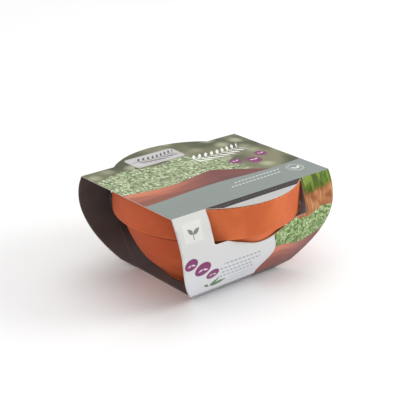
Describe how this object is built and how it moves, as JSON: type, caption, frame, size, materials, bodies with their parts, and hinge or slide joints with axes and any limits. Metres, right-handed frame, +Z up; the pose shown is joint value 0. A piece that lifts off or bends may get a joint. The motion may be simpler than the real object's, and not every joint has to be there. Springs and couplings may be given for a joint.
{
  "type": "packaged seed-growing kit",
  "caption": "Seed-growing kit: a round terracotta-coloured bowl held in an open-ended printed card sleeve, with growing medium and a seed sachet inside.",
  "frame": {"origin": "middle of the sleeve's underside, on the bowl's axis", "axes": "+X along the sleeve towards one open end, -Y towards the front panel, +Z up"},
  "size_m": [0.18, 0.1684, 0.094],
  "materials": {
    "printed_card": "satin",
    "terracotta_plastic": "satin",
    "pressed_coir": "matte",
    "sachet_paper": "matte"
  },
  "bodies": {
    "root": {"card_sleeve": "printed_card", "growing_bowl": "terracotta_plastic", "coir_disc": "pressed_coir", "seed_sachet": "sachet_paper"}
  },
  "joints": []
}
